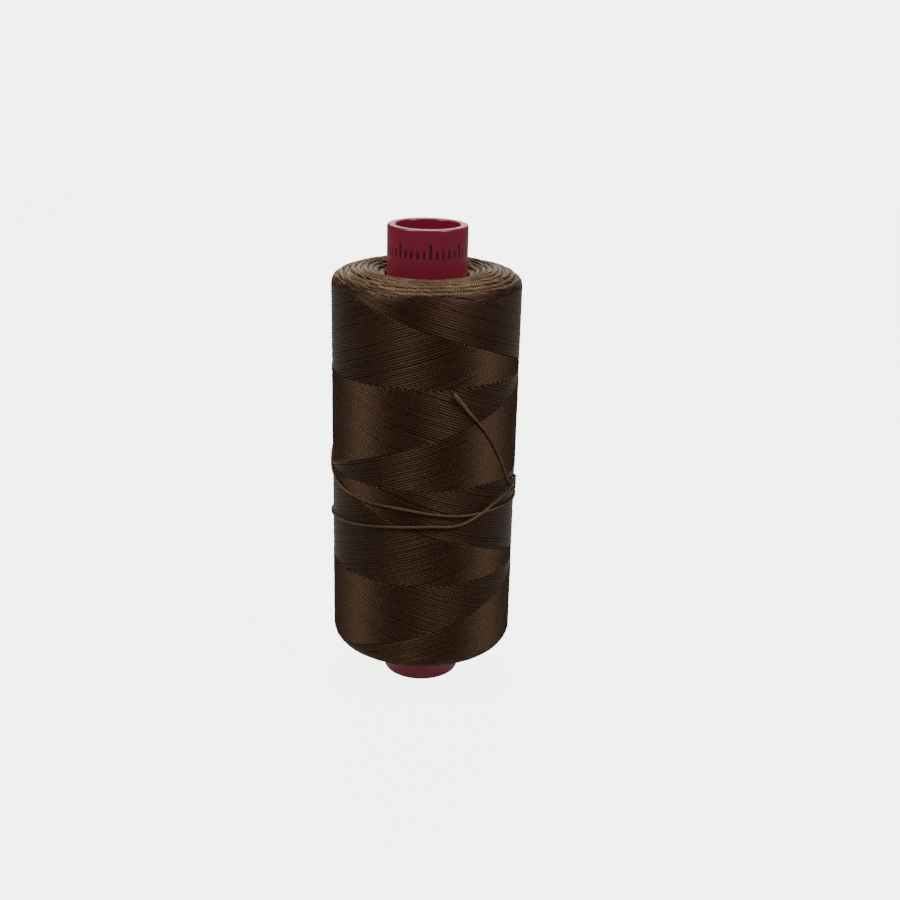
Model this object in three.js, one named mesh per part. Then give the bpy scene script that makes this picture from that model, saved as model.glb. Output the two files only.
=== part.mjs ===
// Waxed thread spool: a cross-wound package of waxed thread on a moulded plastic tube.
// Units are millimetres, +Z is up, and the origin is the centre of the tube's bottom rim,
// on the surface that the spool stands on. The tube's axis is the Z axis.

import * as THREE from "three";

// ---- Driving dimensions ----

// Moulded tube
const TUBE_LENGTH = 115;
const TUBE_OUTER_DIAMETER = 19;
const TUBE_BORE_DIAMETER = 15;
const RIM_ROUNDING = 0.5; // edge radius on both sides of each rim
const LARGEST_ROUNDING_SHARE = 0.4; // of the wall, so that a flat rim is left between them

// Thread and the running gap between pieces that touch
const THREAD_DIAMETER = 0.6;
const CLEARANCE = 0.3;

// Wound package
const PACKAGE_DIAMETER = 45;
const TUBE_SHOWING_BELOW = 4; // bare tube under the package
const TUBE_SHOWING_ABOVE = 11; // bare tube over the package
const TOP_SHOULDER_RADIUS = 3;
const BOTTOM_SHOULDER_RADIUS = 2.8;
const BOTTOM_CONE_ANGLE = 29.5; // degrees that the lower end face rises outwards
const TOP_HOLLOW_DEPTH = 0.9; // dip in the upper end face beside the tube
const TOP_HOLLOW_WIDTH = 1.6;
const TOP_CROWN_HEIGHT = 0.9; // swell of the upper end face between tube and shoulder
const LAYERS_IN_OUTER_LAY = 2; // one thread each way makes a closed lay

// Facets
const LATHE_SEGMENTS = 64;
const ARC_STEPS = 4;
const CROWN_STEPS = 6;
const TAIL_SIDES = 8;
const WRAP_STEPS = 48;
const FREE_END_STEPS = 32;
const ARC_LENGTH_DIVISIONS = 2000;

// Loose end of the thread: [degrees round the tube, height, lift off the package].
// Zero degrees faces -Y and the angle grows towards +X. The lift is counted in threads,
// so 0 lies on the package and 1 lies on another thread.
const TAIL_WRAPPED_LENGTH = 222; // from where it leaves the package to where it doubles back
const TAIL_ROUTE = [
  [-115, 62.1, 0],
  [-100, 60.1, 0],
  [-88, 57.6, 0],
  [-77, 55.2, 0],
  [-58, 53.6, 0],
  [-35, 52.8, 0],
  [-12, 52.5, 0],
  [8, 51.3, 0],
  [26, 50.4, 0],
  [48, 50.1, 0],
  [72, 49.4, 0],
  [98, 48.5, 0],
  [126, 47.4, 0],
  [154, 46.1, 0],
  [182, 44.8, 0],
  [210, 43.7, 0],
  [238, 43.1, 0],
  [264, 43.2, 0],
  [284, 44.1, 0],
  [306, 45.4, 0],
  [328, 46.9, 0],
  [348, 48.0, 0.1],
  [366, 48.4, 0.2],
  [378, 48.2, 0.4],
  [387, 48.9, 0.9],
  [396, 50.4, 1.6],
  [404, 51.7, 1.7],
  [413, 52.8, 1.7],
  [423, 53.6, 1.7],
  [433, 54.2, 1.6],
  [440, 54.3, 1.3],
  [444, 53.7, 0.9],
  [445.5, 52.6, 0.5],
  [444, 51.5, 0.2],
  [440, 51.0, 0],
  [435, 51.5, 0],
  [430, 53.0, 0],
  [425, 54.9, 0],
  [420, 57.3, 0],
  [415, 60.7, 0.1],
  [408.5, 64.8, 0.4],
  [400, 69.6, 0.5],
  [393, 72.9, 0.5],
  [386.5, 75.8, 0.4],
  [379.5, 79.2, 0.6],
];

// ---- Sizes worked out from the driving dimensions ----

const tubeOuterRadius = TUBE_OUTER_DIAMETER / 2;
const tubeBoreRadius = TUBE_BORE_DIAMETER / 2;
const tubeWall = tubeOuterRadius - tubeBoreRadius;
const packageRadius = PACKAGE_DIAMETER / 2;
const packageTop = TUBE_LENGTH - TUBE_SHOWING_ABOVE;
const outerLayThickness = LAYERS_IN_OUTER_LAY * THREAD_DIAMETER;
const innerLaysInset = outerLayThickness + CLEARANCE;
const innerLaysHole = tubeOuterRadius + CLEARANCE;

// The conical end face touches the lower shoulder where their slopes are equal.
const coneAngle = THREE.MathUtils.degToRad(BOTTOM_CONE_ANGLE);
const coneSlope = Math.tan(coneAngle);
const topShoulder = {
  r: packageRadius - TOP_SHOULDER_RADIUS,
  z: packageTop - TOP_SHOULDER_RADIUS,
};
const coneEndR = packageRadius - BOTTOM_SHOULDER_RADIUS * (1 - Math.sin(coneAngle));
const coneEndZ = coneHeight(coneEndR);
const bottomShoulder = {
  r: packageRadius - BOTTOM_SHOULDER_RADIUS,
  z: coneEndZ + BOTTOM_SHOULDER_RADIUS * Math.cos(coneAngle),
};

function coneHeight(r) {
  return TUBE_SHOWING_BELOW + (r - tubeOuterRadius) * coneSlope;
}

// ---- Profile helpers: every profile is a list of Vector2(radius, height) ----

function arc(centre, radius, fromAngle, toAngle, steps = ARC_STEPS) {
  const points = [];
  for (let i = 0; i <= steps; i += 1) {
    const a = fromAngle + ((toAngle - fromAngle) * i) / steps;
    points.push(
      new THREE.Vector2(centre.r + radius * Math.cos(a), centre.z + radius * Math.sin(a)),
    );
  }
  return points;
}

function shoulders(inset) {
  const lower = arc(bottomShoulder, BOTTOM_SHOULDER_RADIUS - inset, coneAngle - Math.PI / 2, 0);
  const upper = arc(topShoulder, TOP_SHOULDER_RADIUS - inset, 0, Math.PI / 2);
  return [...lower, ...upper];
}

// A ring turned round the Z axis from a closed outline that runs anticlockwise.
function turned(outline) {
  const geometry = new THREE.LatheGeometry([...outline, outline[0]], LATHE_SEGMENTS);
  geometry.rotateX(Math.PI / 2);
  return geometry;
}

// ---- Moulded tube ----

function tubeGeometry() {
  const rounding = Math.min(RIM_ROUNDING, LARGEST_ROUNDING_SHARE * tubeWall);
  const outer = tubeOuterRadius - rounding;
  const inner = tubeBoreRadius + rounding;
  const low = rounding;
  const high = TUBE_LENGTH - rounding;
  const quarter = Math.PI / 2;
  return turned([
    ...arc({ r: outer, z: low }, rounding, -quarter, 0),
    ...arc({ r: outer, z: high }, rounding, 0, quarter),
    ...arc({ r: inner, z: high }, rounding, quarter, 2 * quarter),
    ...arc({ r: inner, z: low }, rounding, 2 * quarter, 3 * quarter),
  ]);
}

// ---- Wound package ----

// The inner lays fill the package up to the outer lay and show on both end faces.
function innerLaysGeometry() {
  const faceEndR = topShoulder.r - CLEARANCE;
  const coneStopR = coneEndR - CLEARANCE * Math.cos(coneAngle);
  const coneStep = new THREE.Vector2(
    coneStopR - innerLaysInset * Math.sin(coneAngle),
    coneHeight(coneStopR) + innerLaysInset * Math.cos(coneAngle),
  );
  const crownStartR = innerLaysHole + TOP_HOLLOW_WIDTH;
  const crown = [];
  for (let i = 0; i <= CROWN_STEPS; i += 1) {
    const share = i / CROWN_STEPS;
    const r = faceEndR + (crownStartR - faceEndR) * share;
    const swell = TOP_CROWN_HEIGHT * Math.sin(Math.PI * share);
    crown.push(new THREE.Vector2(r, packageTop + swell));
  }
  return turned([
    new THREE.Vector2(innerLaysHole, coneHeight(innerLaysHole)),
    new THREE.Vector2(coneStopR, coneHeight(coneStopR)),
    coneStep,
    ...shoulders(innerLaysInset),
    new THREE.Vector2(faceEndR, packageTop - innerLaysInset),
    ...crown,
    new THREE.Vector2(innerLaysHole, packageTop - TOP_HOLLOW_DEPTH),
  ]);
}

// The outer lay is the last closed cross-wound lay, from shoulder to shoulder.
function outerLayGeometry() {
  return turned([...shoulders(0), ...shoulders(outerLayThickness).reverse()]);
}

// ---- Loose end of the thread ----

function tailPoint([degrees, height, lift]) {
  const angle = THREE.MathUtils.degToRad(degrees);
  const rest = packageRadius + CLEARANCE + THREAD_DIAMETER / 2;
  const radius = rest + lift * THREAD_DIAMETER;
  return new THREE.Vector3(radius * Math.sin(angle), -radius * Math.cos(angle), height);
}

// The part of a path between two distances along it.
class Stretch extends THREE.Curve {
  constructor(path, from, to) {
    super();
    this.path = path;
    this.from = from / path.getLength();
    this.to = to / path.getLength();
  }

  getPoint(t, target) {
    return this.path.getPointAt(this.from + (this.to - this.from) * t, target);
  }
}

function threadSection() {
  const corners = [];
  for (let i = 0; i < TAIL_SIDES; i += 1) {
    const a = (2 * Math.PI * i) / TAIL_SIDES;
    corners.push(new THREE.Vector2(Math.cos(a), Math.sin(a)).multiplyScalar(THREAD_DIAMETER / 2));
  }
  return new THREE.Shape(corners);
}

function threadAlong(extrudePath, steps) {
  return new THREE.ExtrudeGeometry(threadSection(), { steps, extrudePath, bevelEnabled: false });
}

const tailPath = new THREE.CatmullRomCurve3(TAIL_ROUTE.map(tailPoint), false, "centripetal");
tailPath.arcLengthDivisions = ARC_LENGTH_DIVISIONS;
const freeEndStart = TAIL_WRAPPED_LENGTH + CLEARANCE;
const wrappedStretch = new Stretch(tailPath, 0, TAIL_WRAPPED_LENGTH);
const freeStretch = new Stretch(tailPath, freeEndStart, tailPath.getLength());

// ---- Materials and assembly ----

const mouldedPlastic = { color: "#6e1a2b", roughness: 0.3, metalness: 0 };
const innerThread = { color: "#4a3524", roughness: 0.6, metalness: 0 };
const outerThread = { color: "#3b2a1d", roughness: 0.5, metalness: 0 };
const looseThread = { color: "#5a432c", roughness: 0.5, metalness: 0 };

function piece(name, geometry, finish) {
  const mesh = new THREE.Mesh(geometry, new THREE.MeshStandardMaterial(finish));
  mesh.name = name;
  return mesh;
}

const spool = new THREE.Group();
spool.add(piece("spool_tube", tubeGeometry(), mouldedPlastic));
spool.add(piece("thread_inner_lays", innerLaysGeometry(), innerThread));
spool.add(piece("thread_outer_lay", outerLayGeometry(), outerThread));
spool.add(piece("thread_end_wraps", threadAlong(wrappedStretch, WRAP_STEPS), looseThread));
spool.add(piece("thread_free_end", threadAlong(freeStretch, FREE_END_STEPS), looseThread));

export default spool;
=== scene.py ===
"""Looks of a waxed thread spool, laid out as an add-on and run as a script."""

import math

import bpy
import numpy as np
from mathutils import Matrix, Vector


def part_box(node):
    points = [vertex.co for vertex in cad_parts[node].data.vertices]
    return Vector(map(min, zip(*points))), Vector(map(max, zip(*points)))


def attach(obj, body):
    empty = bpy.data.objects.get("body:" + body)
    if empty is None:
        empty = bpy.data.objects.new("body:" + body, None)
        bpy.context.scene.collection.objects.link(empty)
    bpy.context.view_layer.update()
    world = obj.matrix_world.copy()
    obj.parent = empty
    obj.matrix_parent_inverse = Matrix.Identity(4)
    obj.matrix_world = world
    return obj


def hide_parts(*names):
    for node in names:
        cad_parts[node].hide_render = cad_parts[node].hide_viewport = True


bl_info = {
    "name": "Waxed Thread Spool",
    "version": (1, 0, 0),
    "blender": (4, 5, 0),
    "location": "View3D > Sidebar > Spool",
    "description": "Builds a cross-wound spool of waxed thread around its packed frame",
    "category": "Object",
}

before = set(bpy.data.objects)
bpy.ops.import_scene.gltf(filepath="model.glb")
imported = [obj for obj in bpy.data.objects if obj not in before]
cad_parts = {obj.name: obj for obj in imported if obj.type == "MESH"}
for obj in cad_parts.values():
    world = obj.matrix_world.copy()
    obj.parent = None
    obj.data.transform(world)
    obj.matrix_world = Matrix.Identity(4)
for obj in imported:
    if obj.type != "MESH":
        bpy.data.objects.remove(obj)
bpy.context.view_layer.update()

MM = 0.001
TURN = 2 * math.pi

# ---- The camera's place, in the frame's metres and in degrees ----

CAMERA_DISTANCE = 281.7 * MM
CAMERA_HEIGHT = 161.1 * MM
CAMERA_PITCH = 19.86
CAMERA_YAW = 1.30
CAMERA_ROLL = 1.40
CAMERA_LENS = 48.44
SENSOR_WIDTH = 36.0

# ---- The soft light: name, place, width, height and watts of each box ----

SOFTBOXES = (
    ("left_softbox", (-0.50, -0.26, 0.74), 0.30, 0.30, 3.8),
    ("right_softbox", (0.50, -0.26, 0.74), 0.30, 0.30, 3.8),
    ("top_softbox", (0.0, 0.50, 0.75), 0.25, 0.4, 3.4),
    ("back_softbox", (0.08, 1.0, 0.38), 0.60, 0.5, 1.4),
)
FILL_LIGHT = 0.05
BACKDROP_LIGHT = 6.2
FLOOR_GLOW = 5.7  # the white board is lit from behind as well, as a light table is
FLOOR_BOUNCE = 0.42  # share of its own paleness in what it throws back on the spool
TABLE_LIGHT = 0.42  # what the lit board throws up at the spool's foot
TABLE_LIGHT_REACH = 40 * MM
FLOOR_RADIUS = 1.6
FLOOR_FADE = (0.25, 0.9)  # shares of that radius between which it melts into the backdrop

# ---- The frame's sizes ----

TUBE_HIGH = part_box("spool_tube")[1]
LAY_LOW, LAY_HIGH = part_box("thread_outer_lay")
TUBE_RADIUS = TUBE_HIGH.x
TUBE_LENGTH = TUBE_HIGH.z
PACKAGE_RADIUS = LAY_HIGH.x
PACKAGE_TOP = LAY_HIGH.z

TUBE_BORE_RADIUS = 7.5 * MM
RIM_ROUNDING = 0.5 * MM
TUBE_CLEARANCE = 0.3 * MM
TUBE_SHOWING_BELOW = 4.0 * MM
TOP_SHOULDER = 3.0 * MM
BOTTOM_SHOULDER = 2.8 * MM
CONE_ANGLE = math.radians(29.5)
TOP_HOLLOW_DEPTH = 0.9 * MM
TOP_HOLLOW_WIDTH = 1.6 * MM
TOP_CROWN = 0.9 * MM
THREAD_RADIUS = 0.3 * MM
TWIST_LENGTH = 1.8 * MM

MERGED_WITHIN = 1e-6  # metres between points of a swept thread that become one
RIM_STEPS = 10
TUBE_SEGMENTS = 160
CORE_SEGMENTS = 128
OUTLINE_STEPS = 24  # points along each stretch of the package's outline

# ---- The tube's printed ticks ----

TICKS_ROUND = 40
TALL_EVERY = 5  # ticks from one tall one to the next
TICK_WIDTH_SHARE = 0.36
SHORT_TICK = 1.8 * MM
TALL_TICK = 3.4 * MM
INK_DOT = 0.35 * MM  # from one dot of ink to the next up a tick
PRINT_BASE = TUBE_LENGTH - 6.6 * MM

# ---- The winding rule ----

LEAD = 48.8 * MM  # climb of one pass for each turn of the spool
PASSES = 77  # passes each way that close one lay
PASS_STEP = LEAD / PASSES
RISING_EDGE = 67.7 * MM  # height at the front of the newest rising pass
FALLING_EDGE = 95.3 * MM  # height at the front of the newest falling pass
LAY_DEPTH = 0.55 * MM  # a covered pass lies this much deeper than the one on top
AGE_DEPTH = 0.06 * MM  # how much deeper the oldest pass of a lay lies than its newest
CREST_LIFT = 0.12 * MM  # the newest pass stands this proud of the nominal package
CORE_DEPTH = 0.85 * MM
CORE_CLEARANCE = 0.05 * MM
PRESSED_WIDTH = 1.2  # wound thread is pressed this much wider than free thread
TURN_SHARPNESS = 1.6 * MM  # a pass rounds off over this much height where it turns back
TURN_OVERRUN = 2.2  # and runs on this many times as far past its end
PAST_BOTTOM, PAST_TOP = 1.2 * MM, 0.7 * MM  # how far it runs on to the end faces
TURNS_EARLY, TURNS_LATE = 1.5, 0.4  # most that it turns back short of that or past it, in mm
GROUP_SIZE = (4, 12)  # fewest passes in a bunch, and one more than the most
GROUP_SQUEEZE = (0.006, 0.015, 0.035, 0.055)  # shares of a step that a bunch closes up by
PASS_STRAY = 0.018 * MM
SWAYS = ((0.05 * MM, 1.3), (0.03 * MM, 3.1))  # each one's size and its rate round the spool
RIPPLE = (0.02 * MM, 2.3)  # the same for how a pass rises and falls
LIFT_STRAY = 0.012  # mm that a whole pass lies high or low

# A pass is followed in crossings, which count the passes of the other way that it meets.
# It dips under in the crossing before 0 and comes up in the last one of those that cover it.
LEVEL_STEP = 2.4  # crossings between points where it runs level
DIP_POINTS = 9  # points over each dip and each rise
OPEN_MARGIN = 0.4  # crossings followed closely on the open side of a dip
COVERED_MARGIN = 0.6  # and on its covered side
HIDDEN_MARGIN = 0.65  # past this a covered pass is left out
LEAST_STEP = 0.12
SHORTEST_RUN = 4  # points

# ---- The turns on the end faces ----

RIDGE_STEP = 1.5 * MM  # the turns heap up in ridges this far apart
RIDGE_WANDER = ((0.14, 2), (0.1, 5))  # mm in and out, and how often round the spool
TURN_LENGTH = 9 * MM  # thread seen in one turn before it dips under the next
TURN_LENGTHS = (0.75, 1.3)  # shortest and longest, as shares of that
TURN_SPACING = 1.5 * MM  # from one turn to the next along a ridge
TURN_STRAY = 0.35  # share of the spacing that a turn lies off its place
TURN_SLANT = 0.5  # mm that a turn moves outwards over half its length
SLANT_STRAY = 0.16
TURN_POINTS = 12
INNERMOST_TURN = 0.8 * MM  # room between the tube and the middle of the first ridge
NEAREST_TO_TUBE = 0.36 * MM  # least room between the tube and any turn's middle
TOP_EDGE_ROOM, BOTTOM_EDGE_ROOM = 0.6 * MM, 1.0 * MM  # from the last ridge to the side
TURN_HEIGHTS = (-0.08, 0.1)  # mm that a turn lies low or high
VALLEY_DEPTH = 0.42 * MM
CREST_FALL = 0.3 * MM  # a turn falls away this much to each side of its ridge
TURN_DIVE = 0.45 * MM  # and its ends dive this much further, under the next turns

# ---- The loose end ----

TAIL_BED = 0.08 * MM  # the loose thread settles this far between the wound threads
TAIL_POINTS = 1500
TAIL_SIDES = 18
PLY_DEPTH = 0.12  # share of the radius between the plies' crowns and the grooves
FIBRES = 110  # fibres that part from the thread near its cut end
FRAYED_LENGTH = 7 * MM
FIBRE_DIAMETER = 0.07 * MM
FIBRE_POINTS = 9
FIBRE_REACH = (0.8, 2.4)  # mm that a fibre runs on from where it parts
FIBRE_SPREAD = (0.05, 0.3)  # mm that its tip stands off, less for those that part early
SPLAY_START = 0.29  # millimetres from the thread's middle, where the fibres part from it

# Its route: degrees round the tube, height in mm, lift in threads
TAIL_ROUTE = [
    (-115, 62.1, -0.8),
    (-100, 60.1, -0.1),
    (-88, 57.6, 0),
    (-77, 55.2, 0),
    (-58, 53.6, 0),
    (-35, 52.8, 0),
    (-12, 52.5, 0),
    (8, 51.3, 0),
    (26, 50.4, 0),
    (48, 50.1, 0),
    (72, 49.4, 0),
    (98, 48.5, 0),
    (126, 47.4, 0),
    (154, 46.1, 0),
    (182, 44.8, 0),
    (210, 43.7, 0),
    (238, 43.1, 0),
    (264, 43.2, 0),
    (284, 44.1, 0),
    (306, 45.4, 0),
    (328, 46.9, 0),
    (348, 48.0, 0.1),
    (366, 48.4, 0.2),
    (378, 48.2, 0.4),
    (387, 48.9, 0.7),
    (396, 50.4, 1.0),
    (404, 51.7, 1.05),
    (413, 52.8, 1.05),
    (423, 53.6, 0.95),
    (433, 54.2, 0.4),
    (440, 54.3, 0.1),
    (444, 53.7, 0),
    (445.5, 52.6, 0),
    (444, 51.5, 0),
    (440, 51.0, 0),
    (435, 51.5, 0),
    (430, 53.0, -0.1),
    (425, 54.9, -0.2),
    (420, 57.3, -0.2),
    (415, 60.7, -0.2),
    (408.5, 64.8, -0.2),
    (400, 69.6, -0.15),
    (393, 72.9, 0),
    (386.5, 75.8, 0.1),
    (379.5, 79.2, 0.25),
]


# ---- Colours and node helpers ----


def linear(code):
    """A colour written as sRGB hex, as the linear values that shaders take."""
    channels = [int(code[i : i + 2], 16) / 255 for i in (1, 3, 5)]
    return tuple(c / 12.92 if c <= 0.04045 else ((c + 0.055) / 1.055) ** 2.4 for c in channels)


def node(tree, kind, inputs=None, **settings):
    """Adds a node, sets its settings, and gives each named input a value or a link.

    A node among the inputs stands for its first output.
    """
    made = tree.nodes.new(kind)
    for name, value in settings.items():
        setattr(made, name, value)
    for key, value in (inputs or {}).items():
        if isinstance(value, bpy.types.Node):
            value = value.outputs[0]
        if isinstance(value, bpy.types.NodeSocket):
            tree.links.new(value, made.inputs[key])
        else:
            made.inputs[key].default_value = value
    return made


def rgba(colour):
    return (colour[0], colour[1], colour[2], 1.0)


# ---- Materials ----

WAX_TINT = linear("#e8b68c")  # dyed fibre under the wax warms what it reflects


def new_material(name):
    material = bpy.data.materials.new(name)
    material.use_nodes = True
    tree = material.node_tree
    tree.nodes.clear()
    return material, tree


def with_surface(material, shader):
    """The material with this shader as its surface."""
    node(material.node_tree, "ShaderNodeOutputMaterial", {"Surface": shader})
    return material


def printed_scale(tree, place):
    """Ink-jet ticks round the tube, like a ruler's: every fifth one is taller.

    Gives how strongly the ink covers the plastic, and 0 where there is none.
    """
    spot = node(tree, "ShaderNodeSeparateXYZ", {"Vector": place})
    front = node(tree, "ShaderNodeMath", {0: spot.outputs["Y"], 1: -1.0}, operation="MULTIPLY")
    turn = node(tree, "ShaderNodeMath", {0: spot.outputs["X"], 1: front}, operation="ARCTAN2")
    ticks = node(tree, "ShaderNodeMath", {0: turn, 1: TICKS_ROUND / TURN}, operation="MULTIPLY")
    within = node(tree, "ShaderNodeMath", {0: ticks, 1: 1.0}, operation="FLOORED_MODULO")
    stroke = node(
        tree, "ShaderNodeMath", {0: within, 1: 0.5, 2: TICK_WIDTH_SHARE / 2}, operation="COMPARE"
    )
    count = node(tree, "ShaderNodeMath", {0: ticks}, operation="FLOOR")
    fifth = node(tree, "ShaderNodeMath", {0: count, 1: TALL_EVERY}, operation="FLOORED_MODULO")
    tall = node(tree, "ShaderNodeMath", {0: fifth, 1: 0.5}, operation="LESS_THAN")
    reach = node(
        tree,
        "ShaderNodeMath",
        {0: tall, 1: TALL_TICK - SHORT_TICK, 2: PRINT_BASE + SHORT_TICK},
        operation="MULTIPLY_ADD",
    )
    over = node(
        tree, "ShaderNodeMath", {0: spot.outputs["Z"], 1: PRINT_BASE}, operation="GREATER_THAN"
    )
    under = node(tree, "ShaderNodeMath", {0: spot.outputs["Z"], 1: reach}, operation="LESS_THAN")
    # The ink lies in dots one over another, so the ticks look beaded.
    dots = node(
        tree, "ShaderNodeMath", {0: spot.outputs["Z"], 1: TURN / INK_DOT}, operation="MULTIPLY"
    )
    beads = node(tree, "ShaderNodeMath", {0: dots}, operation="SINE")
    strength = node(
        tree,
        "ShaderNodeMapRange",
        {"Value": beads, "From Min": -1.0, "From Max": 0.2, "To Min": 0.6, "To Max": 0.92},
    )
    flat = node(tree, "ShaderNodeVectorMath", {0: place, 1: (1.0, 1.0, 0.0)}, operation="MULTIPLY")
    away = node(tree, "ShaderNodeVectorMath", {0: flat}, operation="LENGTH")
    outside = node(
        tree,
        "ShaderNodeMath",
        {0: away.outputs["Value"], 1: (TUBE_RADIUS + TUBE_BORE_RADIUS) / 2},
        operation="GREATER_THAN",
    )
    ink = strength
    for mask in (over, under, stroke, outside):
        ink = node(tree, "ShaderNodeMath", {0: ink, 1: mask}, operation="MULTIPLY")
    return ink


def moulded_plastic(colours):
    """Moulded polystyrene tube: an even gloss over faint flow clouding and fine scuffs."""
    material, tree = new_material("moulded_crimson_polystyrene")
    place = node(tree, "ShaderNodeTexCoord").outputs["Object"]
    clouds = node(tree, "ShaderNodeTexNoise", {"Vector": place, "Scale": 90.0, "Detail": 3.0})
    scuffs = node(
        tree,
        "ShaderNodeTexNoise",
        {"Vector": place, "Scale": 900.0, "Detail": 4.0, "Roughness": 0.7},
    )
    tone = node(
        tree,
        "ShaderNodeMix",
        {"Factor": clouds, "A": rgba(colours["tube_deep"]), "B": rgba(colours["tube"])},
        data_type="RGBA",
    )
    printed = node(
        tree,
        "ShaderNodeMix",
        {
            "Factor": printed_scale(tree, place),
            "A": tone.outputs["Result"],
            "B": rgba(colours["ink"]),
        },
        data_type="RGBA",
    )
    gloss = node(
        tree,
        "ShaderNodeMapRange",
        {"Value": scuffs, "From Min": 0.3, "From Max": 0.75, "To Min": 0.2, "To Max": 0.32},
    )
    # Faint lines run along the tube, where it was drawn off the mould's core.
    stretched = node(tree, "ShaderNodeMapping", {"Vector": place, "Scale": (1.0, 1.0, 0.02)})
    lines = node(tree, "ShaderNodeTexNoise", {"Vector": stretched, "Scale": 4000.0, "Detail": 1.0})
    bump = node(tree, "ShaderNodeBump", {"Height": lines, "Distance": 0.01 * MM, "Strength": 0.5})
    shader = node(
        tree,
        "ShaderNodeBsdfPrincipled",
        {"Base Color": printed.outputs["Result"], "Roughness": gloss, "IOR": 1.5, "Normal": bump},
    )
    return with_surface(material, shader)


def waxed_thread(name, dark, light, shine, twist, plies):
    """Waxed bonded polyester thread: plies twisted to the left, satin from the wax.

    The UV map thread_uv holds metres along the thread and turns around it, so the plies
    keep their real lay of one turn in twist metres along every path.
    """
    material, tree = new_material(name)
    uv = node(tree, "ShaderNodeUVMap", uv_map="thread_uv").outputs["UV"]
    parts = node(tree, "ShaderNodeSeparateXYZ", {"Vector": uv})
    along = node(
        tree, "ShaderNodeMath", {0: parts.outputs["X"], 1: 1.0 / twist}, operation="MULTIPLY"
    )
    turned = node(tree, "ShaderNodeMath", {0: parts.outputs["Y"], 1: along}, operation="ADD")
    ply_phase = node(tree, "ShaderNodeMath", {0: turned, 1: TURN * plies}, operation="MULTIPLY")
    ply_wave = node(tree, "ShaderNodeMath", {0: ply_phase}, operation="COSINE")
    ply = node(
        tree,
        "ShaderNodeMapRange",
        {"Value": ply_wave, "From Min": -1.0, "From Max": 0.6},
        interpolation_type="SMOOTHSTEP",
    )
    # Filaments lie along each ply, so their noise is stretched along the twist.
    filament_place = node(tree, "ShaderNodeCombineXYZ", {"X": parts.outputs["X"], "Y": turned})
    filament_scale = node(
        tree,
        "ShaderNodeVectorMath",
        {0: filament_place, 1: (500.0, 26.0, 1.0)},
        operation="MULTIPLY",
    )
    filaments = node(
        tree, "ShaderNodeTexNoise", {"Vector": filament_scale, "Scale": 1.0, "Detail": 2.0}
    )
    strand = node(tree, "ShaderNodeAttribute", attribute_name="tone").outputs["Fac"]
    place = node(tree, "ShaderNodeTexCoord").outputs["Object"]
    patches = node(tree, "ShaderNodeTexNoise", {"Vector": place, "Scale": 70.0, "Detail": 2.0})
    # Painted shade and highlight: the colour runs darker in the grooves between the plies and
    # lighter on their crowns, besides the filaments' grain, each strand's random tone and the
    # patches.
    lit = node(tree, "ShaderNodeMath", {0: filaments, 1: ply}, operation="MULTIPLY")
    varied = node(tree, "ShaderNodeMath", {0: lit, 1: strand, 2: lit}, operation="MULTIPLY_ADD")
    patched = node(tree, "ShaderNodeMath", {0: varied, 1: patches}, operation="MULTIPLY")
    colour = node(
        tree,
        "ShaderNodeMix",
        {"Factor": patched, "A": rgba(dark), "B": rgba(light)},
        data_type="RGBA",
        clamp_factor=True,
    )
    height = node(tree, "ShaderNodeMath", {0: filaments, 1: 0.25, 2: ply}, operation="MULTIPLY_ADD")
    bump = node(tree, "ShaderNodeBump", {"Height": height, "Distance": 0.035 * MM, "Strength": 0.6})
    gloss = node(
        tree,
        "ShaderNodeMapRange",
        {"Value": filaments, "From Min": 0.3, "From Max": 0.7, "To Min": 0.42, "To Max": 0.55},
    )
    # Light spreads across the fibres and hardly along them, so a band shines or lies dark
    # with the way its thread runs.
    fibre = node(tree, "ShaderNodeTangent", direction_type="UV_MAP", uv_map="thread_uv")
    shader = node(
        tree,
        "ShaderNodeBsdfPrincipled",
        {
            "Base Color": colour.outputs["Result"],
            "Roughness": gloss,
            "IOR": 1.5,
            "Specular IOR Level": shine,
            "Specular Tint": rgba(WAX_TINT),
            "Anisotropic": 0.9,
            "Anisotropic Rotation": 0.25,
            "Tangent": fibre,
            "Normal": bump,
        },
    )
    return with_surface(material, shader)


def buried_thread(colours):
    """The lays under the surface, seen only in the gaps: the same thread in deep shade."""
    material, tree = new_material("waxed_thread_buried")
    place = node(tree, "ShaderNodeTexCoord").outputs["Object"]
    strands = node(
        tree,
        "ShaderNodeTexWave",
        {"Vector": place, "Scale": 260.0, "Distortion": 2.0, "Detail": 2.0},
        bands_direction="Z",
    )
    colour = node(
        tree,
        "ShaderNodeMix",
        {
            "Factor": strands.outputs["Fac"],
            "A": rgba(colours["thread_deep"]),
            "B": rgba(colours["thread_dark"]),
        },
        data_type="RGBA",
    )
    bump = node(
        tree,
        "ShaderNodeBump",
        {"Height": strands.outputs["Fac"], "Distance": 0.15 * MM, "Strength": 0.8},
    )
    shader = node(
        tree,
        "ShaderNodeBsdfPrincipled",
        {
            "Base Color": colour.outputs["Result"],
            "Roughness": 0.7,
            "Specular IOR Level": 0.15,
            "Normal": bump,
        },
    )
    return with_surface(material, shader)


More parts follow.
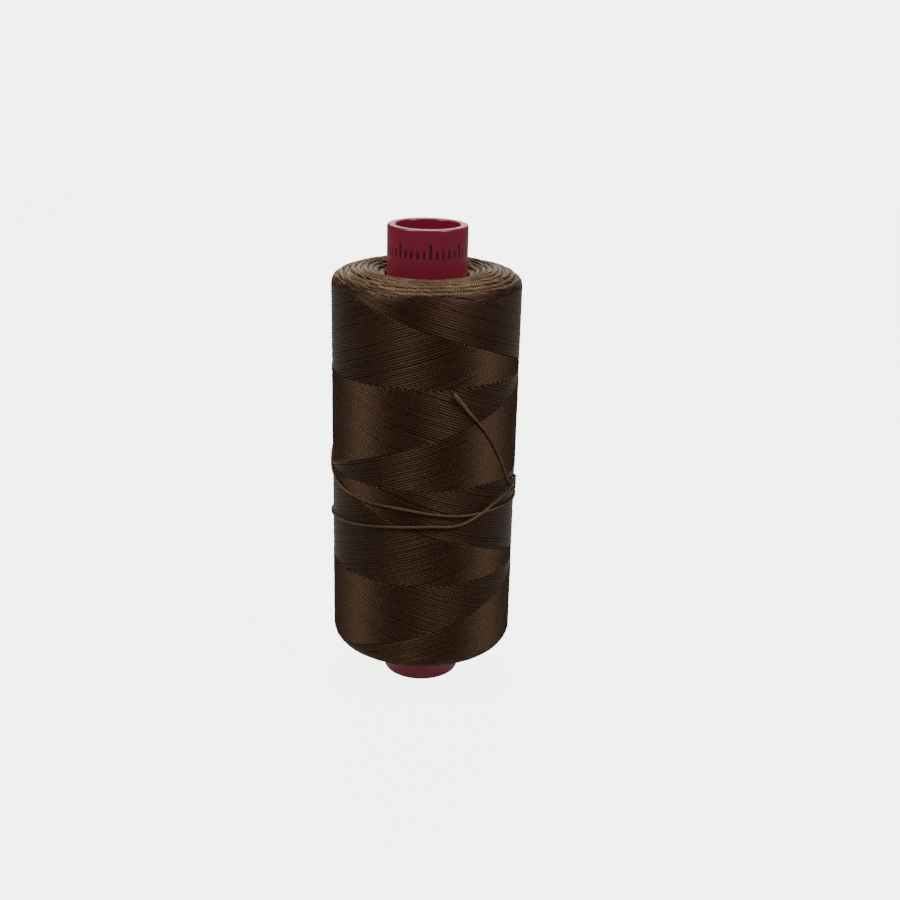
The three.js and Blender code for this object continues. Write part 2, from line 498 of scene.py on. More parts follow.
def studio_floor(colours):
    """Matt white board that melts into the backdrop, so there is no horizon line."""
    material, tree = new_material("matt_pale_board")
    place = node(tree, "ShaderNodeTexCoord").outputs["Object"]
    seen = node(tree, "ShaderNodeLightPath").outputs["Is Camera Ray"]
    away = node(tree, "ShaderNodeVectorMath", {0: place}, operation="LENGTH").outputs["Value"]
    under = node(
        tree,
        "ShaderNodeMapRange",
        {
            "Value": away,
            "From Min": TABLE_LIGHT_REACH / 2,
            "From Max": TABLE_LIGHT_REACH,
            "To Min": TABLE_LIGHT,
            "To Max": 0.0,
        },
    )
    glow = node(
        tree, "ShaderNodeMix", {"Factor": seen, "A": under, "B": FLOOR_GLOW}, data_type="FLOAT"
    )
    board = node(
        tree,
        "ShaderNodeBsdfPrincipled",
        {
            "Base Color": rgba(tuple(FLOOR_BOUNCE * c for c in colours["floor"])),
            "Roughness": 0.8,
            "Emission Color": rgba(colours["floor"]),
            "Emission Strength": glow.outputs["Result"],
        },
    )
    near, far = (FLOOR_RADIUS * share for share in FLOOR_FADE)
    gone = node(
        tree,
        "ShaderNodeMapRange",
        {"Value": away, "From Min": near, "From Max": far},
        interpolation_type="SMOOTHSTEP",
    )
    clear = node(tree, "ShaderNodeBsdfTransparent")
    both = node(tree, "ShaderNodeMixShader", {0: gone, 1: board, 2: clear})
    return with_surface(material, both)


# ---- The package's surface ----


def package_outline():
    """Radius and height along the package's skin, from the tube below to the tube above.

    It also gives the height where the straight side starts.
    """
    hole = TUBE_RADIUS + TUBE_CLEARANCE
    cone_end = PACKAGE_RADIUS - BOTTOM_SHOULDER * (1 - math.sin(CONE_ANGLE))
    cone_rise = math.tan(CONE_ANGLE)
    cone_r = np.linspace(hole, cone_end, OUTLINE_STEPS, endpoint=False)
    cone = np.stack([cone_r, TUBE_SHOWING_BELOW + (cone_r - TUBE_RADIUS) * cone_rise], 1)
    lower_z = (
        TUBE_SHOWING_BELOW
        + (cone_end - TUBE_RADIUS) * cone_rise
        + BOTTOM_SHOULDER * math.cos(CONE_ANGLE)
    )
    a = np.linspace(CONE_ANGLE - math.pi / 2, 0, OUTLINE_STEPS)
    lower = np.stack(
        [
            PACKAGE_RADIUS - BOTTOM_SHOULDER * (1 - np.cos(a)),
            lower_z + BOTTOM_SHOULDER * np.sin(a),
        ],
        1,
    )
    a = np.linspace(0, math.pi / 2, OUTLINE_STEPS)
    upper = np.stack(
        [
            PACKAGE_RADIUS - TOP_SHOULDER * (1 - np.cos(a)),
            PACKAGE_TOP - TOP_SHOULDER * (1 - np.sin(a)),
        ],
        1,
    )
    face_out = PACKAGE_RADIUS - TOP_SHOULDER
    face_in = hole + TOP_HOLLOW_WIDTH
    share = np.linspace(0, 1, OUTLINE_STEPS + 1)[1:]
    crown = np.stack(
        [
            face_out + (face_in - face_out) * share,
            PACKAGE_TOP + TOP_CROWN * np.sin(math.pi * share) ** 0.8,
        ],
        1,
    )
    hollow = np.array([[hole, PACKAGE_TOP - TOP_HOLLOW_DEPTH]])
    return np.concatenate([cone, lower, upper, crown, hollow]), lower_z


class PackageSkin:
    """Maps (angle, distance along the outline, lift) to a point.

    On the straight side the distance is the height itself.
    """

    def __init__(self):
        self.outline, straight_start = package_outline()
        run = distances(self.outline)
        below = 2 * OUTLINE_STEPS  # points of the cone and the lower shoulder
        start = np.interp(straight_start, self.outline[:below, 1], run[:below])
        self.along = run - start + straight_start
        self.shoulder_start = self.along[OUTLINE_STEPS]
        slope = np.gradient(self.outline, self.along, axis=0)
        slope /= np.linalg.norm(slope, axis=1)[:, None]
        self.normal = np.stack([slope[:, 1], -slope[:, 0]], 1)

    def point(self, angle, along, lift):
        r, z = (np.interp(along, self.along, self.outline[:, k]) for k in (0, 1))
        nr, nz = (np.interp(along, self.along, self.normal[:, k]) for k in (0, 1))
        r, z = r + lift * nr, z + lift * nz
        return np.stack([r * np.sin(angle), -r * np.cos(angle), z], 1)

    def at_radius(self, radius, top):
        """The distance along the outline where an end face has this radius."""
        half = len(self.along) // 2
        if top:
            return np.interp(-radius, -self.outline[half:, 0], self.along[half:])
        return np.interp(radius, self.outline[:half, 0], self.along[:half])


# ---- Paths that thread follows ----


def smoothstep(x):
    x = np.clip(x, 0, 1)
    return x * x * (3 - 2 * x)


def distances(points):
    """Distance along a path at each of its points."""
    return np.concatenate([[0], np.cumsum(np.linalg.norm(np.diff(points, axis=0), axis=1))])


def evened(points, count):
    """The path with this many points, evenly spaced along it."""
    run = distances(points)
    at = np.linspace(0, run[-1], count)
    return np.stack([np.interp(at, run, points[:, k]) for k in range(3)], 1)


def pass_offsets(rng):
    """Small uneven steps between passes: they bunch in groups with a thin gap between."""
    offsets = np.zeros(PASSES)
    start = 0
    while start < PASSES:
        count = min(int(rng.integers(*GROUP_SIZE)), PASSES - start)
        middle = start + (count - 1) / 2
        squeeze = rng.choice(GROUP_SQUEEZE)
        for i in range(start, start + count):
            offsets[i] = (middle - i) * squeeze * PASS_STEP
        start += count
    return offsets + rng.normal(0, PASS_STRAY, PASSES)


def pass_samples(covering, first, last):
    """Where a pass needs points, from its first crossing to its last."""
    level = np.arange(first, last, LEVEL_STEP)
    dip = np.linspace(-(1 + OPEN_MARGIN), COVERED_MARGIN, DIP_POINTS)
    rise = np.linspace(-(1 + COVERED_MARGIN), OPEN_MARGIN, DIP_POINTS)
    close = []
    for lap in range(math.floor(first / PASSES) - 1, math.ceil(last / PASSES) + 1):
        close += [lap * PASSES + dip, lap * PASSES + covering + rise]
    samples = np.concatenate([level, *close])
    samples = np.unique(np.round(samples[(samples >= first) & (samples <= last)], 3))
    return samples[np.concatenate([[True], np.diff(samples) > LEAST_STEP])]


def cross_wound_paths(skin, rising, seed):
    """Every visible run of the passes one way: its points, its tone and its mean height.

    Passes are numbered from the newest, 0, to the oldest. A rising pass lies over a
    falling pass that is as old or older; otherwise it dips under it and is left out.
    """
    rng = np.random.default_rng(seed)
    climb = LEAD / TURN
    offsets = pass_offsets(rng)
    way = 1 if rising else -1
    low_end, high_end = skin.shoulder_start - PAST_BOTTOM, PACKAGE_TOP + PAST_TOP
    overrun = TURN_OVERRUN * TURN_SHARPNESS / climb
    per_radian = 2 * climb / PASS_STEP
    runs = []
    for age in range(PASSES):
        start = (RISING_EDGE - age * PASS_STEP) if rising else (FALLING_EDGE + age * PASS_STEP)
        covering = age if rising else age + 1
        phase = (start - FALLING_EDGE) if rising else (RISING_EDGE - start)
        top = high_end + rng.uniform(-TURNS_EARLY, TURNS_LATE) * MM
        low = low_end + rng.uniform(-TURNS_LATE, TURNS_EARLY) * MM
        ends = sorted(((low - start) / (way * climb), (top - start) / (way * climb)))
        first, last = ends[0] - overrun, ends[1] + overrun
        crossed = pass_samples(
            covering, phase / PASS_STEP + first * per_radian, phase / PASS_STEP + last * per_radian
        )
        angle = (crossed - phase / PASS_STEP) / per_radian
        sway = sum(size * np.sin(rate * angle + rng.uniform(0, TURN)) for size, rate in SWAYS)
        straight = start + way * climb * angle + offsets[age] + sway
        above, below = top - straight, straight - low
        along = (
            straight
            + (above - np.sqrt(above**2 + TURN_SHARPNESS**2))
            + (np.sqrt(below**2 + TURN_SHARPNESS**2) - below)
        )
        local = np.mod(crossed + 1, PASSES) - 1
        covered = np.minimum(smoothstep(local + 1), 1 - smoothstep(local - (covering - 1)))
        other_age = np.where(local < 0, -local * (PASSES - 1), local) / PASSES
        size, rate = RIPPLE
        uneven = size * np.sin(rate * angle + rng.uniform(0, TURN))
        uneven += rng.normal(0, LIFT_STRAY) * MM
        lift = (
            CREST_LIFT
            - THREAD_RADIUS * PRESSED_WIDTH
            - AGE_DEPTH * (age / PASSES + other_age)
            - LAY_DEPTH * covered
            + uneven
        )
        hidden = (local > HIDDEN_MARGIN) & (local < covering - (1 + HIDDEN_MARGIN))
        tone = rng.random()
        changes = np.flatnonzero(np.diff(hidden.astype(int))) + 1
        for piece in np.split(np.arange(len(angle)), changes):
            if hidden[piece[0]] or len(piece) < SHORTEST_RUN:
                continue
            runs.append(
                {
                    "points": skin.point(angle[piece], along[piece], lift[piece]),
                    "tone": tone,
                    "height": float(np.mean(along[piece])),
                }
            )
    return runs


def turn_round_paths(skin, top, seed):
    """The turns on an end face: short runs that climb over each ridge, as in a laid rope."""
    rng = np.random.default_rng(seed)
    inner = TUBE_RADIUS + INNERMOST_TURN
    outer = PACKAGE_RADIUS - (TOP_EDGE_ROOM if top else BOTTOM_EDGE_ROOM)
    ridges = round((outer - inner) / RIDGE_STEP)
    runs = []
    for row in range(2 * ridges + 1):
        middle = inner + row * (outer - inner) / (2 * ridges)
        valley = VALLEY_DEPTH * (row % 2)
        count = int(TURN * middle / TURN_SPACING)
        wobble = rng.uniform(0, TURN, 2)
        for i in range(count):
            half = rng.uniform(*TURN_LENGTHS) * TURN_LENGTH / 2 / middle
            centre = TURN * (i + rng.uniform(-TURN_STRAY, TURN_STRAY)) / count
            share = np.linspace(-1, 1, TURN_POINTS)
            angle = centre + share * half
            drift = sum(
                size * np.sin(rate * angle + start)
                for (size, rate), start in zip(RIDGE_WANDER, wobble)
            )
            across = TURN_SLANT * share + rng.uniform(-SLANT_STRAY, SLANT_STRAY)
            radius = middle + (across + drift) * MM
            radius = np.clip(radius, TUBE_RADIUS + NEAREST_TO_TUBE, None)
            crest = CREST_FALL * (across / (RIDGE_STEP / MM / 2)) ** 2  # across is in mm
            dive = TURN_DIVE * smoothstep((np.abs(share) - 0.5) / 0.5)
            lift = rng.uniform(*TURN_HEIGHTS) * MM - THREAD_RADIUS - crest - dive - valley
            points = skin.point(angle, skin.at_radius(radius, top), lift)
            runs.append({"points": points, "tone": rng.random()})
    return runs


def linked(name, data):
    """A new object in the scene that holds this data."""
    made = bpy.data.objects.new(name, data)
    bpy.context.scene.collection.objects.link(made)
    return made


def path_object(name, runs):
    """One mesh of bare edges holding every path, with what the sweep needs at each point."""
    points = np.concatenate([run["points"] for run in runs])
    along, girth, tone, edges = [], [], [], []
    base = 0
    for run in runs:
        count = len(run["points"])
        along.append(distances(run["points"]))
        full = np.ones(count)
        full[0] = full[-1] = 0.0  # the thread's ends close to a point
        girth.append(full)
        tone.append(np.full(count, run["tone"]))
        index = np.arange(base, base + count - 1)
        edges.append(np.stack([index, index + 1], 1))
        base += count
    mesh = bpy.data.meshes.new(name)
    edges = np.concatenate(edges)
    mesh.from_pydata(points.tolist(), edges.tolist(), [])
    for key, values in (("along", along), ("girth", girth), ("tone", tone)):
        layer = mesh.attributes.new(key, "FLOAT", "POINT")
        layer.data.foreach_set("value", np.concatenate(values).astype(np.float32))
    return linked(name, mesh)


# ---- The sweep: Geometry Nodes that run a thread along every path ----


def thread_sweep_tree():
    """Sweeps a round or lobed thread along paths, twists it, and lays a UV map on it."""
    tree = bpy.data.node_groups.new("thread_sweep", "GeometryNodeTree")
    face = tree.interface
    face.new_socket("Geometry", in_out="INPUT", socket_type="NodeSocketGeometry")
    for name, kind, value in (
        ("Thread Diameter", "NodeSocketFloat", 2 * THREAD_RADIUS),
        ("Sides", "NodeSocketInt", 8),
        ("Plies", "NodeSocketInt", 3),
        ("Ply Depth", "NodeSocketFloat", 0.0),
        ("Twist Length", "NodeSocketFloat", TWIST_LENGTH),
        ("Material", "NodeSocketMaterial", None),
    ):
        socket = face.new_socket(name, in_out="INPUT", socket_type=kind)
        if value is not None:
            socket.default_value = value
    face.new_socket("Geometry", in_out="OUTPUT", socket_type="NodeSocketGeometry")
    start = node(tree, "NodeGroupInput").outputs

    around = node(tree, "GeometryNodeSplineParameter").outputs["Factor"]
    radius = node(
        tree, "ShaderNodeMath", {0: start["Thread Diameter"], 1: 0.5}, operation="MULTIPLY"
    )
    corners = node(tree, "ShaderNodeMath", {0: start["Sides"], 1: 1.0}, operation="ADD")
    ring = node(
        tree, "GeometryNodeCurveArc", {"Resolution": corners, "Radius": radius, "Sweep Angle": TURN}
    )
    turns = node(tree, "ShaderNodeMath", {0: start["Plies"], 1: TURN}, operation="MULTIPLY")
    phase = node(tree, "ShaderNodeMath", {0: around, 1: turns}, operation="MULTIPLY")
    wave = node(tree, "ShaderNodeMath", {0: phase}, operation="COSINE")
    lobe = node(
        tree, "ShaderNodeMath", {0: wave, 1: start["Ply Depth"], 2: 1.0}, operation="MULTIPLY_ADD"
    )
    spot = node(tree, "GeometryNodeInputPosition").outputs["Position"]
    lobed = node(tree, "ShaderNodeVectorMath", {0: spot, "Scale": lobe}, operation="SCALE")
    shaped = node(tree, "GeometryNodeSetPosition", {"Geometry": ring, "Position": lobed})
    kept = node(tree, "GeometryNodeCaptureAttribute")
    kept.capture_items.new("FLOAT", "around")
    tree.links.new(shaped.outputs["Geometry"], kept.inputs["Geometry"])
    tree.links.new(around, kept.inputs["around"])

    along = node(tree, "GeometryNodeInputNamedAttribute", {"Name": "along"}).outputs["Attribute"]
    girth = node(tree, "GeometryNodeInputNamedAttribute", {"Name": "girth"}).outputs["Attribute"]
    paths = node(tree, "GeometryNodeMeshToCurve", {"Mesh": start["Geometry"]})
    share = node(tree, "ShaderNodeMath", {0: along, 1: start["Twist Length"]}, operation="DIVIDE")
    tilt = node(tree, "ShaderNodeMath", {0: share, 1: -TURN}, operation="MULTIPLY")
    lobed_only = node(
        tree, "ShaderNodeMath", {0: start["Ply Depth"], 1: 0.0}, operation="GREATER_THAN"
    )
    twist = node(tree, "ShaderNodeMath", {0: tilt, 1: lobed_only}, operation="MULTIPLY")
    tilted = node(tree, "GeometryNodeSetCurveTilt", {"Curve": paths, "Tilt": twist})
    swept = node(
        tree, "GeometryNodeCurveToMesh", {"Curve": tilted, "Profile Curve": kept, "Scale": girth}
    )
    uv = node(tree, "ShaderNodeCombineXYZ", {"X": along, "Y": kept.outputs["around"]})
    mapped = node(
        tree,
        "GeometryNodeStoreNamedAttribute",
        {"Geometry": swept, "Name": "thread_uv", "Value": uv},
        data_type="FLOAT2",
        domain="CORNER",
    )
    closed = node(
        tree, "GeometryNodeMergeByDistance", {"Geometry": mapped, "Distance": MERGED_WITHIN}
    )
    smooth = node(tree, "GeometryNodeSetShadeSmooth", {"Geometry": closed})
    real = node(tree, "GeometryNodeRealizeInstances", {"Geometry": smooth})
    finished = node(
        tree, "GeometryNodeSetMaterial", {"Geometry": real, "Material": start["Material"]}
    )
    node(tree, "NodeGroupOutput", {"Geometry": finished})
    return tree


def swept_thread(name, runs, material, **sizes):
    """A plain mesh of thread along every run, made by the sweep and then frozen."""
    source = path_object(name + "_paths", runs)
    tree = bpy.data.node_groups.get("thread_sweep") or thread_sweep_tree()
    modifier = source.modifiers.new("sweep", "NODES")
    modifier.node_group = tree
    values = {"Material": material, **sizes}
    for item in tree.interface.items_tree:
        if item.item_type == "SOCKET" and item.in_out == "INPUT" and item.name in values:
            modifier[item.identifier] = values[item.name]
    depsgraph = bpy.context.evaluated_depsgraph_get()
    mesh = bpy.data.meshes.new_from_object(
        source.evaluated_get(depsgraph), preserve_all_data_layers=True, depsgraph=depsgraph
    )
    mesh.name = name
    bpy.data.objects.remove(source)
    face_outwards(mesh)
    return linked(name, mesh)


def face_outwards(mesh):
    """Turns a closed mesh the right way out."""
    mesh.calc_loop_triangles()
    count = len(mesh.loop_triangles)
    corners = np.zeros(count * 3, np.int32)
    spots = np.zeros(len(mesh.vertices) * 3, np.float32)
    mesh.loop_triangles.foreach_get("vertices", corners)
    mesh.vertices.foreach_get("co", spots)
    a, b, c = (spots.reshape(-1, 3)[corners.reshape(-1, 3)[:, k]].astype(float) for k in range(3))
    if (a * np.cross(b, c)).sum() < 0:
        mesh.flip_normals()


def turned_piece(name, outline, segments, material):
    """A closed ring turned round the Z axis from (radius, height) points."""
    count = len(outline)
    angle = np.arange(segments) * TURN / segments
    points = np.stack(
        [
            np.outer(np.sin(angle), outline[:, 0]),
            -np.outer(np.cos(angle), outline[:, 0]),
            np.outer(np.ones(segments), outline[:, 1]),
        ],
        2,
    ).reshape(-1, 3)
    faces = []
    for i in range(segments):
        j = (i + 1) % segments
        for k in range(count):
            n = (k + 1) % count
            faces.append((i * count + k, j * count + k, j * count + n, i * count + n))
    mesh = bpy.data.meshes.new(name)
    mesh.from_pydata(points.tolist(), [], faces)
    mesh.shade_smooth()
    mesh.materials.append(material)
    face_outwards(mesh)
    return linked(name, mesh)


def rim_arc(r, z, start, end):
    """Points along the rounding of a rim, about its centre at (r, z)."""
    a = np.linspace(start, end, RIM_STEPS + 1)
    return np.stack([r + RIM_ROUNDING * np.cos(a), z + RIM_ROUNDING * np.sin(a)], 1)


# ---- Settings that a user would change ----


class SpoolSizes(bpy.types.PropertyGroup):
    thread_diameter: bpy.props.FloatProperty(
        name="Thread Diameter",
        description="Thickness of the waxed thread",
        default=2 * THREAD_RADIUS,
        min=0.2 * MM,
        max=1.2 * MM,
        precision=5,
        unit="LENGTH",
    )
    twist_length: bpy.props.FloatProperty(
        name="Twist Length",
        description="Length of thread in which its plies go round once",
        default=TWIST_LENGTH,
        min=0.5 * MM,
        precision=5,
        unit="LENGTH",
    )
    plies: bpy.props.IntProperty(
        name="Plies", description="Yarns twisted together in the thread", default=3, min=2, max=6
    )
    sides: bpy.props.IntProperty(
        name="Thread Sides",
        description="Sides of the wound thread's round section",
        default=8,
        min=5,
        max=16,
    )


def colour_setting(name, description, code):
    return bpy.props.FloatVectorProperty(
        name=name, description=description, subtype="COLOR", default=linear(code)
    )


class SpoolColours(bpy.types.PropertyGroup):
    # Painted shade and highlight: the plies mix these two, Thread Shade in the grooves and Thread
    # Colour on the crowns, besides random tone.
    thread_dark: colour_setting(
        "Thread Shade", "Brown between the plies and in the gaps", "#21150f"
    )
    thread_light: colour_setting("Thread Colour", "Brown on the crown of each ply", "#55392a")
    thread_deep: colour_setting("Buried Thread", "Brown of the lays under the surface", "#120c08")
    # Painted light: the end turns are the same thread as the passes, painted much paler as a lit
    # copy.
    end_turns_painted_lit: colour_setting(
        "End Turns", "Brown of the end turns, painted paler as a lit copy of the thread", "#d4ac80"
    )
    # Painted light: the loose end is the same waxed thread, painted paler all along as a lit copy.
    loose_end_painted_lit: colour_setting(
        "Loose End", "Brown of the loose end, painted paler as a lit copy of the thread", "#a68a70"
    )
    # Partly painted light: the frayed fibres are paler dry fibre, and this colour is also raised as
    # a lit copy.
    fibre_light: colour_setting(
        "Frayed Fibres", "Pale brown of the dry fibres at the cut end, partly painted light", "#c2a17c"
    )
    tube: colour_setting("Tube", "Crimson of the moulded tube", "#a02d48")
    tube_deep: colour_setting(
        "Tube Clouding", "Deeper crimson of the tube's flow clouding", "#8f253b"
    )
    ink: colour_setting("Printing Ink", "Black of the ticks printed on the tube", "#1b0a0e")
    floor: colour_setting("Floor", "Pale floor that the spool stands on", "#f2f1ef")


def setting_names(group):
    return [name for name in group.bl_rna.properties.keys() if name not in ("rna_type", "name")]


def palette():
    """Every colour setting by its name."""
    chosen = bpy.context.scene.spool_colours
    return {name: tuple(getattr(chosen, name)) for name in setting_names(chosen)}


def thread_of(name, light, dark="thread_dark", shine=1.0):
    """A thread material in two of the colour settings."""
    sizes = bpy.context.scene.spool_sizes
    colours = palette()
    return waxed_thread(
        name, colours[dark], colours[light], shine, sizes.twist_length, sizes.plies
    )


# ---- Operators ----


class SPOOL_OT_stage(bpy.types.Operator):
    """Adds the camera, the soft lights and the pale floor"""

    bl_idname = "spool.stage"
    bl_label = "Stage"

    def execute(self, context):
        pitch, yaw, roll = (math.radians(v) for v in (CAMERA_PITCH, CAMERA_YAW, CAMERA_ROLL))
        forward = Vector(
            (math.sin(yaw) * math.cos(pitch), math.cos(yaw) * math.cos(pitch), -math.sin(pitch))
        )
        level = Vector((math.cos(yaw), -math.sin(yaw), 0))
        up = level.cross(forward)
        right = math.cos(roll) * level + math.sin(roll) * up
        up = right.cross(forward)
        axes = Matrix((right, up, -forward)).transposed()
        data = bpy.data.cameras.new("camera")
        data.lens = CAMERA_LENS
        data.sensor_width = SENSOR_WIDTH
        data.clip_start = 0.01
        camera = linked("camera", data)
        place = Matrix.Translation((0, -CAMERA_DISTANCE, CAMERA_HEIGHT))
        camera.matrix_world = place @ axes.to_4x4()
        context.scene.camera = camera

        colours = palette()
        mesh = bpy.data.meshes.new("floor")
        half = FLOOR_RADIUS
        corners = [(-half, -half, 0), (half, -half, 0), (half, half, 0), (-half, half, 0)]
        mesh.from_pydata(corners, [], [(0, 1, 2, 3)])
        mesh.materials.append(studio_floor(colours))
        floor = linked("floor", mesh)

        middle = Vector((0, 0, TUBE_LENGTH / 2))
        for name, place, width, height, power in SOFTBOXES:
            lamp = bpy.data.lights.new(name, "AREA")
            lamp.shape = "RECTANGLE"
            lamp.size, lamp.size_y = width, height
            lamp.energy = power
            light = linked(name, lamp)
            light.location = place
            aim = (middle - Vector(place)).to_track_quat("-Z", "Y")
            light.rotation_euler = aim.to_euler()
            light.visible_camera = False

        world = bpy.data.worlds.new("studio")
        world.use_nodes = True
        tree = world.node_tree
        tree.nodes.clear()
        seen = node(tree, "ShaderNodeLightPath").outputs["Is Camera Ray"]
        fill = node(tree, "ShaderNodeBackground", {"Strength": FILL_LIGHT})
        paper = node(
            tree,
            "ShaderNodeBackground",
            {"Color": rgba(colours["floor"]), "Strength": BACKDROP_LIGHT},
        )
        both = node(tree, "ShaderNodeMixShader", {0: seen, 1: fill, 2: paper})
        node(tree, "ShaderNodeOutputWorld", {"Surface": both})
        context.scene.world = world
        return {"FINISHED"}


class SPOOL_OT_loose_end(bpy.types.Operator):
    """Lays the loose end of the thread round the package and tucks it in"""

    bl_idname = "spool.loose_end"
    bl_label = "Loose End"

    def execute(self, context):
        sizes = context.scene.spool_sizes
        rest = PACKAGE_RADIUS - TAIL_BED + THREAD_RADIUS
        knots = []
        for degrees, height, lift in TAIL_ROUTE:
            angle, radius = math.radians(degrees), rest + lift * 2 * THREAD_RADIUS
            knots.append((radius * math.sin(angle), -radius * math.cos(angle), height * MM))
        line = evened(smooth_line(np.array(knots)), TAIL_POINTS)
        # Painted light: the loose end takes a paler, lit copy of the thread's colour.
        piece = swept_thread(
            "loose_thread_end",
            [{"points": line, "tone": 0.8}],
            thread_of("waxed_thread_loose_end", "loose_end_painted_lit"),
            **{
                "Thread Diameter": sizes.thread_diameter,
                "Sides": TAIL_SIDES,
                "Plies": sizes.plies,
                "Ply Depth": PLY_DEPTH,
                "Twist Length": sizes.twist_length,
            },
        )
        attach(piece, "root")
        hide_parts("thread_end_wraps", "thread_free_end")
        # The fibres' colour runs from the loose end's painted lit colour to a paler one, which is
        # partly the dry fibres' own colour and partly painted light.
        frayed = swept_thread(
            "frayed_tip",
            frayed_paths(line),
            thread_of("dry_thread_fibres", "fibre_light", "loose_end_painted_lit"),
            **{"Thread Diameter": FIBRE_DIAMETER, "Sides": 5},
        )
        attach(frayed, "root")
        return {"FINISHED"}


def frayed_paths(line):
    """Single fibres that part from the last stretch of thread and splay at the cut end."""
    rng = np.random.default_rng(31)
    step = np.linalg.norm(line[-1] - line[-2])
    last = len(line) - 1
    ahead = line[-1] - line[-8]
    ahead /= np.linalg.norm(ahead)
    share = np.linspace(0, 1, FIBRE_POINTS)
    runs = []
    for _ in range(FIBRES):
        start = FRAYED_LENGTH * rng.uniform(0, 1) ** 1.6
        reach = rng.uniform(*FIBRE_REACH) * MM
        at = last + (share * reach - start) / step
        base = np.stack([np.interp(at, np.arange(len(line)), line[:, k]) for k in range(3)], 1)
        base += np.outer(np.clip(at - last, 0, None) * step, ahead)
        outwards = base * (1, 1, 0)
        outwards /= np.linalg.norm(outwards, axis=1)[:, None]
        side = np.cross(ahead, outwards)
        turn = rng.uniform(0, TURN)
        loose = rng.uniform(*FIBRE_SPREAD) * (1.3 - start / FRAYED_LENGTH)
        splay = (SPLAY_START + loose * share**1.5) * MM
        points = (
            base
            + (splay * math.cos(turn))[:, None] * side
            + (splay * max(math.sin(turn), -0.4))[:, None] * outwards
        )
        runs.append({"points": points, "tone": rng.uniform(0.6, 1)})
    return runs


def smooth_line(knots, steps=24):
    """A centripetal Catmull-Rom curve through the knots."""
    ends = np.vstack([2 * knots[0] - knots[1], knots, 2 * knots[-1] - knots[-2]])
    line = []
    for i in range(1, len(ends) - 2):
        a, b, c, d = ends[i - 1 : i + 3]
        near, mid, far = (max(np.linalg.norm(v) ** 0.5, 1e-5) for v in (b - a, c - b, d - c))
        leave = ((b - a) / near - (c - a) / (near + mid) + (c - b) / mid) * mid
        arrive = ((c - b) / mid - (d - b) / (mid + far) + (d - c) / far) * mid
        for t in np.linspace(0, 1, steps, endpoint=False):
            line.append(
                (2 * t**3 - 3 * t**2 + 1) * b
                + (t**3 - 2 * t**2 + t) * leave
                + (3 * t**2 - 2 * t**3) * c
                + (t**3 - t**2) * arrive
            )
    line.append(knots[-1])
    return np.array(line)


class SPOOL_OT_tube(bpy.types.Operator):
    """Makes the moulded tube with rounded rims"""

    bl_idname = "spool.tube"
    bl_label = "Moulded Tube"

    def execute(self, context):
        q = math.pi / 2
        outer, inner = TUBE_RADIUS - RIM_ROUNDING, TUBE_BORE_RADIUS + RIM_ROUNDING
        low, high = RIM_ROUNDING, TUBE_LENGTH - RIM_ROUNDING
        outline = np.concatenate(
            [
                rim_arc(outer, low, -q, 0),
                rim_arc(outer, high, 0, q),
                rim_arc(inner, high, q, 2 * q),
                rim_arc(inner, low, 2 * q, 3 * q),
            ]
        )
        piece = turned_piece("moulded_tube", outline, TUBE_SEGMENTS, moulded_plastic(palette()))
        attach(piece, "root")
        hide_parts("spool_tube")
        return {"FINISHED"}


class SPOOL_OT_package(bpy.types.Operator):
    """Makes the buried lays that fill the package under its skin"""

    bl_idname = "spool.package"
    bl_label = "Buried Lays"

    def execute(self, context):
        skin = PackageSkin()
        hole = TUBE_RADIUS + CORE_CLEARANCE
        sunk = skin.outline - CORE_DEPTH * skin.normal
        sunk[:, 0] = np.clip(sunk[:, 0], hole, None)
        outline = np.concatenate([sunk, [(hole, sunk[-1, 1]), (hole, sunk[0, 1])]])
        piece = turned_piece("buried_lays", outline, CORE_SEGMENTS, buried_thread(palette()))
        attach(piece, "root")
        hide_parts("thread_inner_lays")
        return {"FINISHED"}


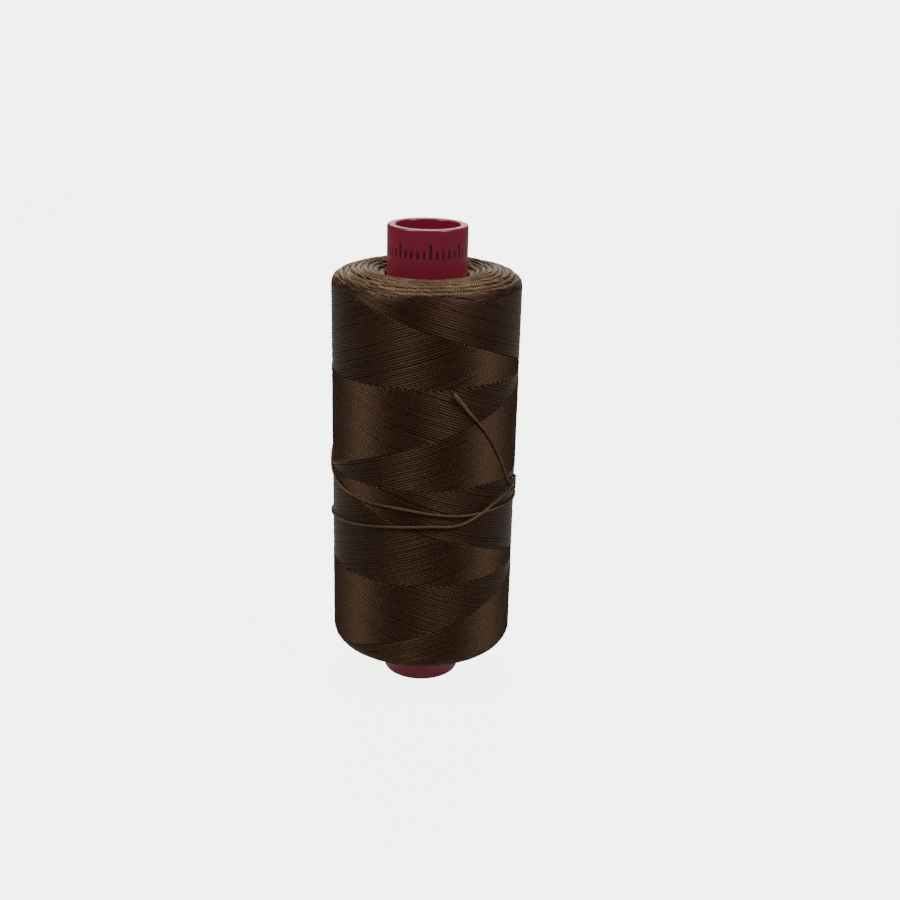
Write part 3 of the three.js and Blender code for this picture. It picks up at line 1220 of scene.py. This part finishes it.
class SPOOL_OT_passes(bpy.types.Operator):
    """Winds the crossing passes of the outer lay"""

    bl_idname = "spool.passes"
    bl_label = "Cross-Wound Passes"

    def execute(self, context):
        sizes = context.scene.spool_sizes
        skin = PackageSkin()
        material = thread_of("waxed_polyester_thread", "thread_light")
        settings = {
            "Thread Diameter": sizes.thread_diameter * PRESSED_WIDTH,
            "Sides": sizes.sides,
        }
        middle = (LAY_LOW.z + LAY_HIGH.z) / 2
        for rising, seed, way in ((True, 11, "rising"), (False, 23, "falling")):
            runs = cross_wound_paths(skin, rising, seed)
            lower = [run for run in runs if run["height"] < middle]
            upper = [run for run in runs if run["height"] >= middle]
            for part, chosen in (("lower", lower), ("upper", upper)):
                piece = swept_thread(f"{way}_passes_{part}", chosen, material, **settings)
                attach(piece, "root")
                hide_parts("thread_outer_lay")
        return {"FINISHED"}


class SPOOL_OT_end_turns(bpy.types.Operator):
    """Lays the turns of thread on both end faces"""

    bl_idname = "spool.end_turns"
    bl_label = "End Turns"

    def execute(self, context):
        sizes = context.scene.spool_sizes
        skin = PackageSkin()
        # Painted light: the end turns take a paler, lit copy of the thread's colour.
        material = thread_of("waxed_thread_end_turns", "end_turns_painted_lit", shine=0.4)
        settings = {
            "Thread Diameter": sizes.thread_diameter,
            "Sides": sizes.sides,
        }
        for top, seed, name in ((True, 5, "top_turns"), (False, 7, "bottom_turns")):
            piece = swept_thread(name, turn_round_paths(skin, top, seed), material, **settings)
            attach(piece, "root")
        return {"FINISHED"}


class SPOOL_PT_panel(bpy.types.Panel):
    """Lists the spool's settings and its pieces"""

    bl_label = "Thread Spool"
    bl_space_type = "VIEW_3D"
    bl_region_type = "UI"
    bl_category = "Spool"

    def draw(self, context):
        for group in (context.scene.spool_sizes, context.scene.spool_colours):
            for name in setting_names(group):
                self.layout.prop(group, name)
        for operator in OPERATORS:
            self.layout.operator(operator.bl_idname)


OPERATORS = (
    SPOOL_OT_stage,
    SPOOL_OT_loose_end,
    SPOOL_OT_tube,
    SPOOL_OT_package,
    SPOOL_OT_passes,
    SPOOL_OT_end_turns,
)
CLASSES = (SpoolSizes, SpoolColours, *OPERATORS, SPOOL_PT_panel)


def register():
    for item in CLASSES:
        bpy.utils.register_class(item)
    bpy.types.Scene.spool_sizes = bpy.props.PointerProperty(type=SpoolSizes)
    bpy.types.Scene.spool_colours = bpy.props.PointerProperty(type=SpoolColours)


def unregister():
    del bpy.types.Scene.spool_colours
    del bpy.types.Scene.spool_sizes
    for item in reversed(CLASSES):
        bpy.utils.unregister_class(item)


def main():
    register()
    bpy.ops.spool.stage()
    bpy.ops.spool.loose_end()
    bpy.ops.spool.tube()
    bpy.ops.spool.package()
    bpy.ops.spool.passes()
    bpy.ops.spool.end_turns()


if __name__ == "__main__":
    main()
